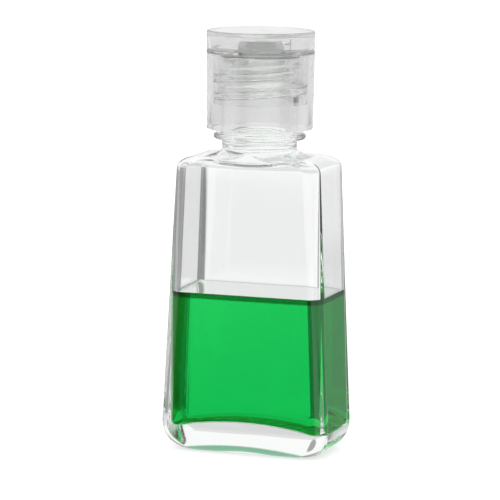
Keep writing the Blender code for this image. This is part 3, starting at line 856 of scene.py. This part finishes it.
def web_object(name, middle_x, half_x, inner_y, outer_y, low, high):
    """An upright strip: each ring is a square with round corners, the cosine and the sine of its turn each
    raised to the half power. Its ends close over a short rounding, a quarter circle."""
    into_end = np.clip(1 - np.minimum(web_share, 1 - web_share) / web_end, 0, 1)
    end = np.sqrt(np.clip(1 - into_end**2, web_end_least, 1))
    round_x = np.sign(np.cos(around)) * np.abs(np.cos(around)) ** 0.5
    round_y = np.sign(np.sin(around)) * np.abs(np.sin(around)) ** 0.5
    x = middle_x + half_x * end * round_x
    y = (inner_y + outer_y) / 2 + (outer_y - inner_y) / 2 * end * round_y
    z = np.broadcast_to(low + (high - low) * web_share, x.shape)
    made = grid_object(name, np.stack([x, y, z], axis=-1))
    made.data.materials.append(web_plastic)
    return made


hinge_webs = []
for node in ("hinge_film_left", "hinge_film_right"):
    low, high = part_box(node)
    middle_x, middle_y = (low.x + high.x) / 2, (low.y + high.y) / 2
    half_y = waist((high.y - low.y) / 2, (high.y - low.y) / 3)
    sides = (middle_x, (high.x - low.x) / 2, middle_y - half_y, middle_y + half_y)
    film = web_object(node + "_web", *sides, low.z - seat_gap, high.z + seat_gap)
    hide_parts(node)
    hinge_webs.append(film)

# The strap's two ends reach in to the faces of the pads.
low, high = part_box("hinge_strap")
reach = np.clip((np.abs(web_share - 0.5) - strap_reach_from) / strap_reach_over, 0, 1)
strap_inner_y = low.y - seat_gap * reach
strap_half_x = waist(high.x, high.x * strap_waist)
strap = web_object("hinge_strap_web", 0.0, strap_half_x, strap_inner_y, high.y, low.z, high.z)
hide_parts("hinge_strap")
hinge_webs.append(strap)

for piece in hinge_webs:
    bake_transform(piece)

# Floor. A plain pale sheet that glows a little, so that it meets the white room without a line. Light that
# the bottle bends or mirrors passes through it, and so the clear plastic shows the room below as well.
floor_half = 3.0
floor_drop = 0.02 * mm
floor_grey = (0.6, 0.6, 0.6)
floor_glow = 0.66
floor_signs = ((-1, -1), (1, -1), (1, 1), (-1, 1))
floor_corners = [(x * floor_half, y * floor_half, -floor_drop) for x, y in floor_signs]
floor_mesh = bpy.data.meshes.new("floor")
floor_mesh.from_pydata(floor_corners, [], [(0, 1, 2, 3)])
floor = bpy.data.objects.new("floor", floor_mesh)
bpy.context.scene.collection.objects.link(floor)

floor_paint = bpy.data.materials.new("floor_paint")
floor_paint.use_nodes = True
nodes, links = floor_paint.node_tree.nodes, floor_paint.node_tree.links
shader = nodes["Principled BSDF"]
shader.inputs["Base Color"].default_value = (*floor_grey, 1.0)
shader.inputs["Roughness"].default_value = 0.9
shader.inputs["Specular IOR Level"].default_value = 0.0
shader.inputs["Emission Color"].default_value = (1.0, 1.0, 1.0, 1.0)
shader.inputs["Emission Strength"].default_value = floor_glow
path = nodes.new("ShaderNodeLightPath")
see_through = nodes.new("ShaderNodeBsdfTransparent")
bent_or_mirrored = nodes.new("ShaderNodeMath")
bent_or_mirrored.operation = "MAXIMUM"
paint_or_nothing = nodes.new("ShaderNodeMixShader")
links.new(path.outputs["Is Transmission Ray"], bent_or_mirrored.inputs[0])
links.new(path.outputs["Is Glossy Ray"], bent_or_mirrored.inputs[1])
links.new(bent_or_mirrored.outputs["Value"], paint_or_nothing.inputs["Fac"])
links.new(shader.outputs["BSDF"], paint_or_nothing.inputs[1])
links.new(see_through.outputs["BSDF"], paint_or_nothing.inputs[2])
links.new(paint_or_nothing.outputs["Shader"], nodes["Material Output"].inputs["Surface"])
floor_mesh.materials.append(floor_paint)

# Room. Plain white all round for the camera and for plain surfaces. What the clear plastic bends or mirrors
# is white overhead and far below, with a pale band at the horizon and round panels on a dark ground under
# it. The gaps between the panels draw the dark edges of the plastic.
world = bpy.data.worlds.new("studio")
bpy.context.scene.world = world
world.use_nodes = True
nodes, links = world.node_tree.nodes, world.node_tree.links
background = nodes["Background"]
direction = nodes.new("ShaderNodeTexCoord")
path = nodes.new("ShaderNodeLightPath")


def math_node(operation, first, second=0.0):
    """A node that works out one sum of two numbers, each a socket or a plain value."""
    node = nodes.new("ShaderNodeMath")
    node.operation = operation
    for socket, value in zip(node.inputs, (first, second)):
        if isinstance(value, bpy.types.NodeSocket):
            links.new(value, socket)
        else:
            socket.default_value = value
    return node.outputs["Value"]


def ramp(value, low, high):
    """A smooth step from 0 at the low value to 1 at the high one."""
    step = nodes.new("ShaderNodeMapRange")
    step.interpolation_type = "SMOOTHSTEP"
    step.inputs["From Min"].default_value = low
    step.inputs["From Max"].default_value = high
    links.new(value, step.inputs["Value"])
    return step.outputs["Result"]


def height_ramp(value, low, high):
    """A smooth step of a direction's height between two elevations in degrees."""
    return ramp(value, np.sin(np.radians(low)), np.sin(np.radians(high)))


def panel(heading, elevation, radius, edge, strength):
    """One round panel, in degrees: full inside its radius, and soft over its edge. Heading 0 lies behind
    the bottle, towards +Y, and turns towards -X."""
    turn, rise = np.radians(heading), np.radians(elevation)
    towards = (-np.sin(turn) * np.cos(rise), np.cos(turn) * np.cos(rise), np.sin(rise))
    outer, inner = np.cos(np.radians(radius + edge)), np.cos(np.radians(radius - edge))
    facing = nodes.new("ShaderNodeVectorMath")
    facing.operation = "DOT_PRODUCT"
    facing.inputs[1].default_value = towards
    links.new(direction.outputs["Generated"], facing.inputs[0])
    return math_node("MULTIPLY", ramp(facing.outputs["Value"], outer, inner), strength)


def brighter(first, second):
    """The brighter of two levels."""
    return math_node("MAXIMUM", first, second)


height = nodes.new("ShaderNodeSeparateXYZ")
links.new(direction.outputs["Generated"], height.inputs["Vector"])
white_above = height_ramp(height.outputs["Z"], 1.5, 4.0)
white_below = height_ramp(math_node("MULTIPLY", height.outputs["Z"], -1.0), 19.0, 22.0)
pale_zone = height_ramp(height.outputs["Z"], -6.8, -6.0)
pale_level = 0.74

# Each panel is a heading, an elevation, a radius, an edge and a strength.
lit = 0.0
for one in (
    (12.6, -8.0, 10.0, 1.5, 1.03),
    (225.0, -13.0, 17.0, 5.0, 1.0),
    (45.0, -8.0, 50.0, 8.0, 0.22),
    (320.0, -8.0, 50.0, 8.0, 0.3),
    (312.0, -8.0, 18.0, 4.0, 1.0),
    (80.0, -8.0, 20.0, 8.0, 0.42),
    (132.0, -5.0, 16.0, 10.0, 0.8),
    (12.6, -20.0, 8.0, 1.5, 1.0),
):
    lit = brighter(lit, panel(*one))
to_pale = math_node("MULTIPLY", pale_zone, math_node("SUBTRACT", pale_level, lit))
lit = math_node("ADD", lit, to_pale)
lit = brighter(lit, brighter(white_above, white_below))

# A dark patch behind and to the left draws the thin dark line along the left of the shoulder.
dark_patch = panel(30.0, 10.6, 7.0, 1.5, 0.7)
lit = math_node("MULTIPLY", lit, math_node("SUBTRACT", 1.0, dark_patch))

# One more panel stands at the front, for light that comes through the bottle and not for what its faces
# mirror. Seen from behind, it lightens the dark lines at the edges of the bottle and the cap.
front_panel = panel(190.0, -13.0, 24.0, 3.0, 1.0)
lit = brighter(lit, math_node("MULTIPLY", front_panel, path.outputs["Is Transmission Ray"]))

darkest_level = 0.08
level = math_node("ADD", math_node("MULTIPLY", lit, 1.0 - darkest_level), darkest_level)
bent = brighter(path.outputs["Is Transmission Ray"], path.outputs["Is Glossy Ray"])
seen_level = math_node("ADD", math_node("MULTIPLY", bent, math_node("SUBTRACT", level, 1.0)), 1.0)
links.new(seen_level, background.inputs["Strength"])
background.inputs["Color"].default_value = (1.0, 1.0, 1.0, 1.0)

# Light passes and mirrors many times inside the thick base, whose corners would turn black with fewer.
scene = bpy.context.scene
scene.view_settings.view_transform = "Standard"
scene.cycles.max_bounces = 40
scene.cycles.transmission_bounces = 40
scene.cycles.glossy_bounces = 24
